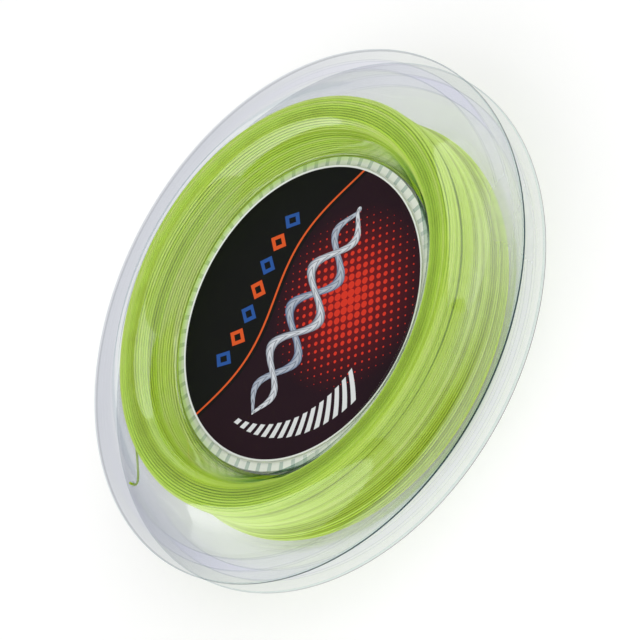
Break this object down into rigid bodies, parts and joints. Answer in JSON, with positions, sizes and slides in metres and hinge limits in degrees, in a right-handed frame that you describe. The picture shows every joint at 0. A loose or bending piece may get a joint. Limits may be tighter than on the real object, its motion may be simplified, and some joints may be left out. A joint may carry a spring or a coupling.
{
  "type": "string reel",
  "caption": "Round reel of racket string: two dished clear shells plugged together at the hub, wound string between them, label in the recess.",
  "frame": {"origin": "centre of the lowest plane, under the reel's axis, with the reel lying flat on its back shell", "axes": "+Z along the reel's axis, out of the front label; +Y away from the picture's camera"},
  "size_m": [0.15, 0.15, 0.0274],
  "materials": {
    "clear_plastic": "clear polished moulding",
    "label_print": "printed satin film with a white margin",
    "string_nylon": "satin coated nylon"
  },
  "bodies": {
    "back_half": {"back_shell": "clear_plastic", "back_label": "label_print", "string_inner_layers": "string_nylon", "string_last_layer": "string_nylon", "string_tail": "string_nylon", "string_inner_end": "string_nylon"},
    "front_half": {"front_shell": "clear_plastic", "front_label": "label_print"}
  },
  "joints": [
    {"name": "front_half_pull", "type": "slide", "parent": "back_half", "child": "front_half", "axis": [0, 0, 1], "range_m": [0, 0.03]}
  ]
}
